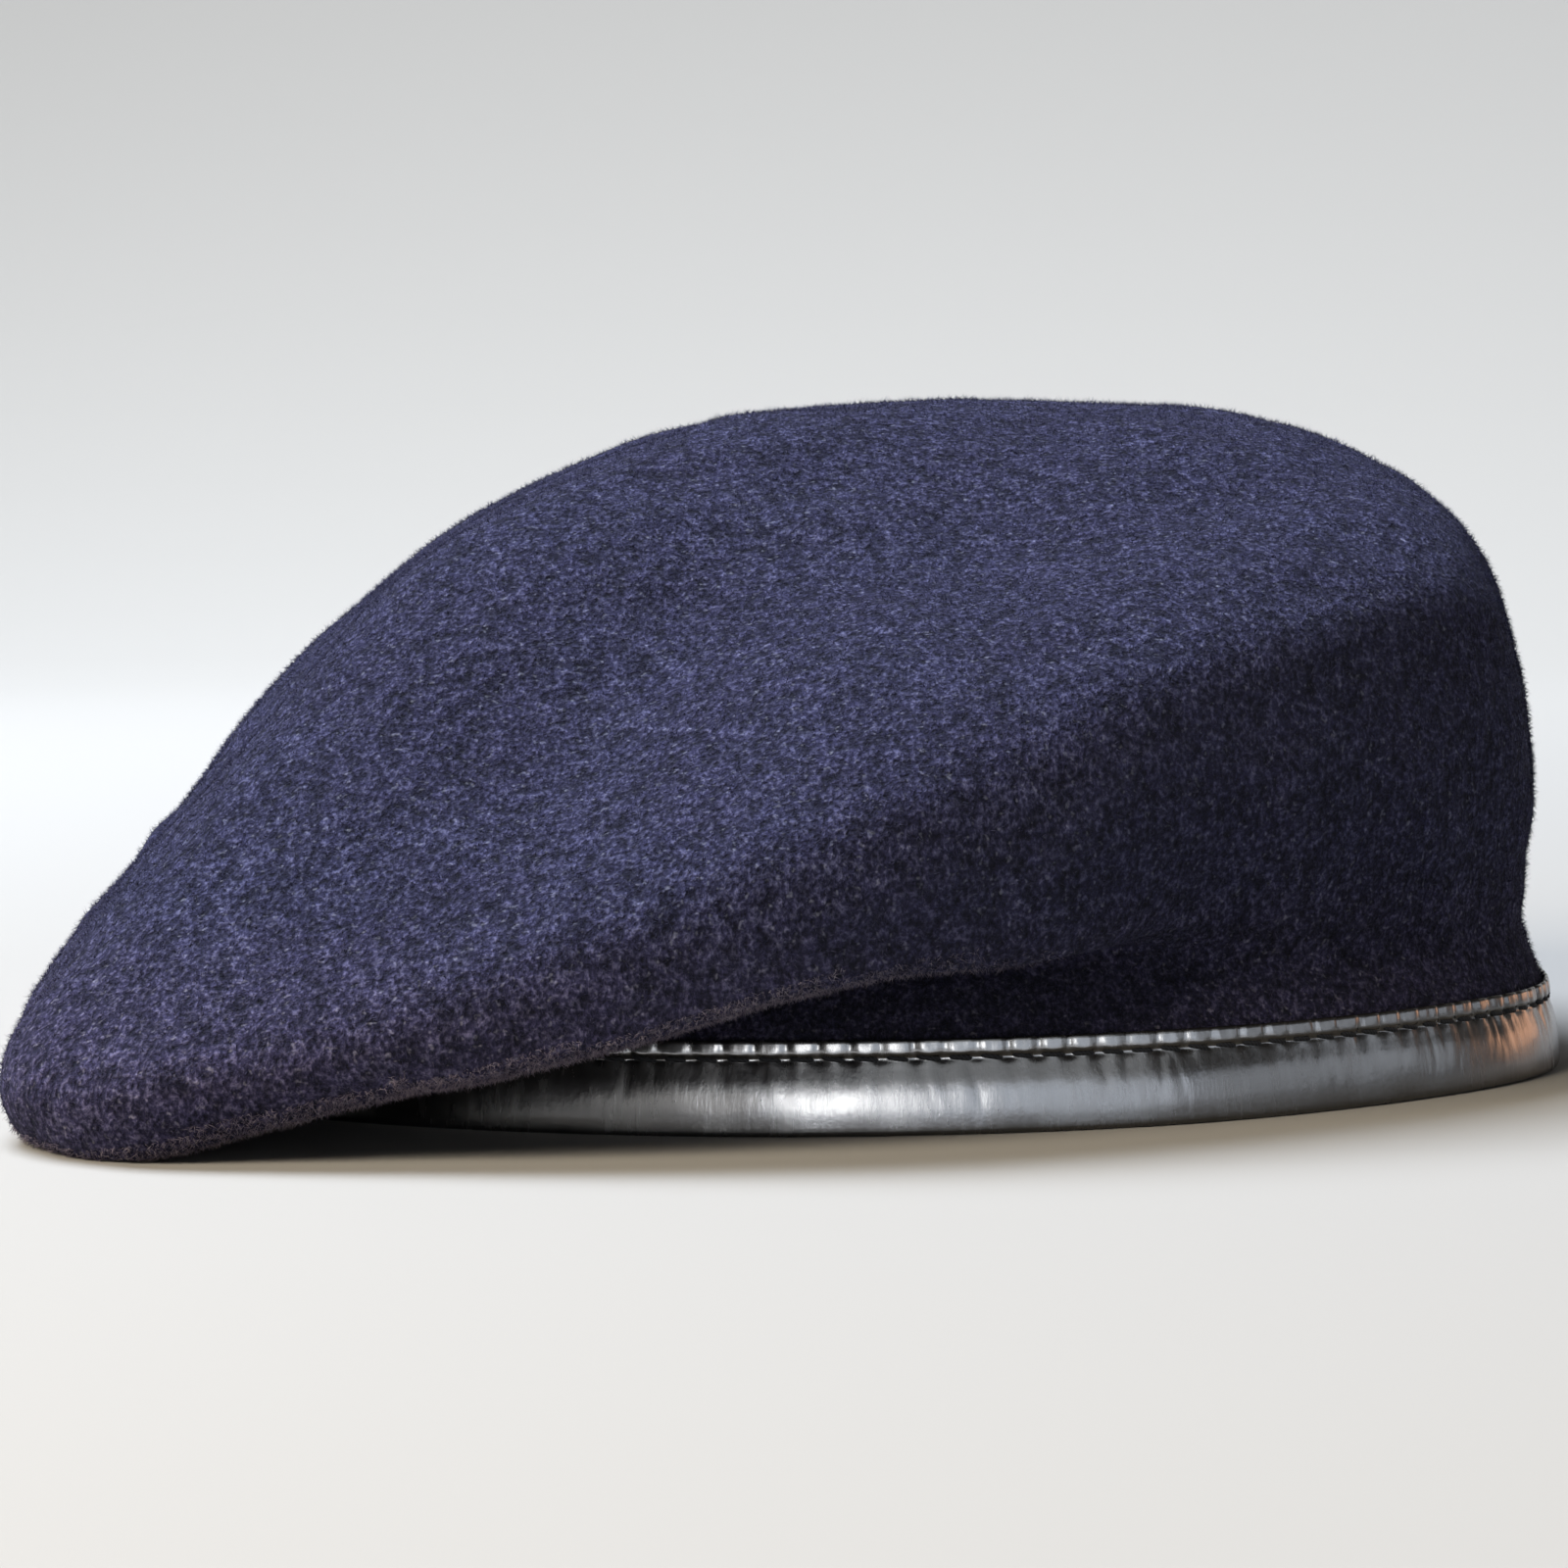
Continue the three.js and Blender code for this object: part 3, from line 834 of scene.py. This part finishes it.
def nap_material(name, tones):
    nodes = Nodes(name)
    shade = nodes.noise(1000, 1.0, 0.5)
    tone = nodes.ramp(shade, tones)
    # the painted warm light low down tints the nap too
    nodes.join(nodes.blended(1.0, tone, painted_low_light(nodes), "MULTIPLY"), nodes.shader.inputs["Base Color"])
    nodes.join(nodes.grey(shade, 0.75, 0.95), nodes.shader.inputs["Roughness"])
    nodes.set(Sheen_Weight=0.02, Sheen_Roughness=0.4, Specular_IOR_Level=0.03)
    return nodes.material


def leather_material():
    nodes = Nodes("headband_leather")
    grain = nodes.noise(1400, 3.0, 0.6)
    streaks = nodes.noise(1, 4.0, 0.6, nodes.stretched((900, 900, 110)))
    cloud = nodes.noise(90, 3.0, 0.6)
    tone = nodes.ramp(cloud, [(0.3, (0.008, 0.007, 0.0065)), (0.7, (0.017, 0.015, 0.014))])
    worn = nodes.ramp(streaks, [(0.6, (0, 0, 0)), (0.8, (0.02, 0.018, 0.016))])
    nodes.join(nodes.blended(1.0, tone, worn, "ADD"), nodes.shader.inputs["Base Color"])
    mottled = nodes.blended(0.5, cloud, streaks)
    nodes.join(nodes.grey(mottled, 0.17, 0.33), nodes.shader.inputs["Roughness"])
    nodes.set(Coat_Weight=0.3, Coat_Roughness=0.15, Specular_IOR_Level=0.7, IOR=1.55)
    nodes.bumped([(streaks, 0.22, 0.0003), (grain, 0.12, 0.00015)])
    return nodes.material


def thread_material():
    nodes = Nodes("stitch_thread")
    twist = nodes.add("ShaderNodeTexWave", {"Scale": 900, "Distortion": 1.5, "Detail": 1.0})
    twist.bands_direction = "DIAGONAL"
    nodes.join(nodes.places(), twist.inputs["Vector"])
    tone = nodes.ramp(twist.outputs["Fac"], [(0.2, (0.002, 0.002, 0.0025)), (0.8, (0.012, 0.012, 0.014))])
    nodes.join(tone, nodes.shader.inputs["Base Color"])
    nodes.join(nodes.grey(twist.outputs["Fac"], 0.75, 0.95, 0.0, 1.0), nodes.shader.inputs["Roughness"])
    nodes.set(Sheen_Weight=0.05, Sheen_Roughness=0.4, Specular_IOR_Level=0.15)
    nodes.bumped([(twist.outputs["Fac"], 0.5, 0.0001)])
    return nodes.material


def stage_material():
    nodes = Nodes("pale_floor")
    nodes.set(Base_Color=(0.35, 0.331, 0.304, 1), Roughness=0.9, Specular_IOR_Level=0.1)
    return nodes.material


# The floor, a wide shallow bowl so that no horizon shows, in metres
BOWL = {"centre": 0.02, "floor": 1.3, "bend": 2.2, "wall": 3.2, "steps": 24, "sides": 96}


def make_stage():
    """The floor, with a wall that it turns up into all round."""
    radii, heights = [BOWL["centre"], BOWL["floor"]], [0.0, 0.0]
    for step in range(1, BOWL["steps"] + 1):
        turn = step / BOWL["steps"] * math.pi / 2
        radii.append(BOWL["floor"] + BOWL["bend"] * math.sin(turn))
        heights.append(BOWL["bend"] * (1 - math.cos(turn)))
    radii.append(radii[-1])
    heights.append(BOWL["wall"])
    around = np.arange(BOWL["sides"]) * 2 * math.pi / BOWL["sides"]
    points = [[0, 0, 0]]
    for radius, height in zip(radii, heights):
        points += [[radius * math.cos(a), radius * math.sin(a), height] for a in around]
    faces = []
    n = BOWL["sides"]
    for i in range(n):
        k = (i + 1) % n
        faces.append((0, 1 + i, 1 + k))
        for row in range(len(radii) - 1):
            a, b = 1 + row * n, 1 + (row + 1) * n
            faces.append((a + i, b + i, b + k, a + k))
    mesh = bpy.data.meshes.new("floor")
    mesh.from_pydata(points, [], faces)
    put_in_scene("floor", mesh, stage_material())


# Light, in metres and watts: a soft one above and behind, a warm one at the left, and one for the background
BERET = (0.0, 0.0, 0.04)
LIGHT_COLUMNS = ["at", "to", "size", "power", "color"]
LIGHTS = {
    "above": [(-0.55, 0.4, 1.35), BERET, (1.0, 0.9), 57, (0.82, 0.92, 1.08)],
    "left": [(-0.77, -0.86, 0.8), BERET, (0.6, 0.6), 22.5, (1.0, 0.9, 0.74)],
    "backdrop": [(0, 1.1, 1.5), (0, 3.0, 0.3), (1.6, 0.7), 62, (0.88, 0.95, 1.05)],
}
SHINE = {  # panels for the leather's shine
    "front": [(0.06, -1.5, 0.28), BERET, (0.36, 0.2), 4.2, (1.0, 0.98, 0.96)],
    "glow": [(0.0, -1.5, 0.28), BERET, (1.0, 0.24), 3.8, (1.0, 0.98, 0.96)],
    "wide": [(0.5, -1.45, 0.26), BERET, (1.8, 0.46), 12, (0.86, 0.94, 1.07)],
    "upper": [(0.2, -1.35, 0.72), BERET, (2.2, 0.6), 6.6, (0.92, 0.96, 1.0)],
    "floor": [(0.06, -0.19, 0.0015), (0.06, -0.19, 1.0), (0.5, 0.14), 0.9, (0.95, 0.96, 1.0)],
    "right": [(1.2, -0.42, 0.2), BERET, (1.2, 0.3), 2.4, (0.84, 0.9, 1.0)],
    "far_left": [(-0.85, -1.25, 0.26), BERET, (0.9, 0.24), 1.7, (1.0, 0.98, 0.96)],
    "warm_right": [(0.9, 0.5, 0.1), BERET, (0.4, 0.15), 0.5, (1.0, 0.5, 0.28)],
}
SKY = {"color": (1.0, 0.93, 0.84, 1), "strength": 0.035}


def make_lights():
    for name, row in (LIGHTS | SHINE).items():
        light = dict(zip(LIGHT_COLUMNS, row))
        data = bpy.data.lights.new(name, "AREA")
        data.shape = "RECTANGLE"
        data.size, data.size_y = light["size"]
        data.energy = light["power"]
        data.color = light["color"]
        lamp = bpy.data.objects.new(name, data)
        place = Vector(light["at"])
        lamp.location = place
        lamp.rotation_euler = (Vector(light["to"]) - place).to_track_quat("-Z", "Y").to_euler()
        lamp.visible_diffuse = name in LIGHTS  # the other panels show only in reflections
        bpy.context.scene.collection.objects.link(lamp)
    world = bpy.data.worlds.new("sky")
    world.use_nodes = True
    sky = world.node_tree.nodes["Background"]
    sky.inputs["Color"].default_value = SKY["color"]
    sky.inputs["Strength"].default_value = SKY["strength"]
    bpy.context.scene.world = world


make_camera()
rng = np.random.default_rng(SEED)
crown, crown_face_grid = make_crown(felt_material(), rng)
# the second nap material is the painted light rim's
fibres, lit_rim_fibres = nap_material("felt_nap", NAP_TONES), nap_material("lit_rim_nap", LIT_RIM_TONES)
nap = make_nap(crown_face_grid, fibres, lit_rim_fibres, rng)
leather_pieces = make_headband(leather_material(), thread_material(), rng)
for piece in (crown, *nap):
    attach(piece, "root")
for piece in leather_pieces:
    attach(piece, "root")
make_stage()
make_lights()
bpy.context.scene.view_settings.view_transform = "Standard"
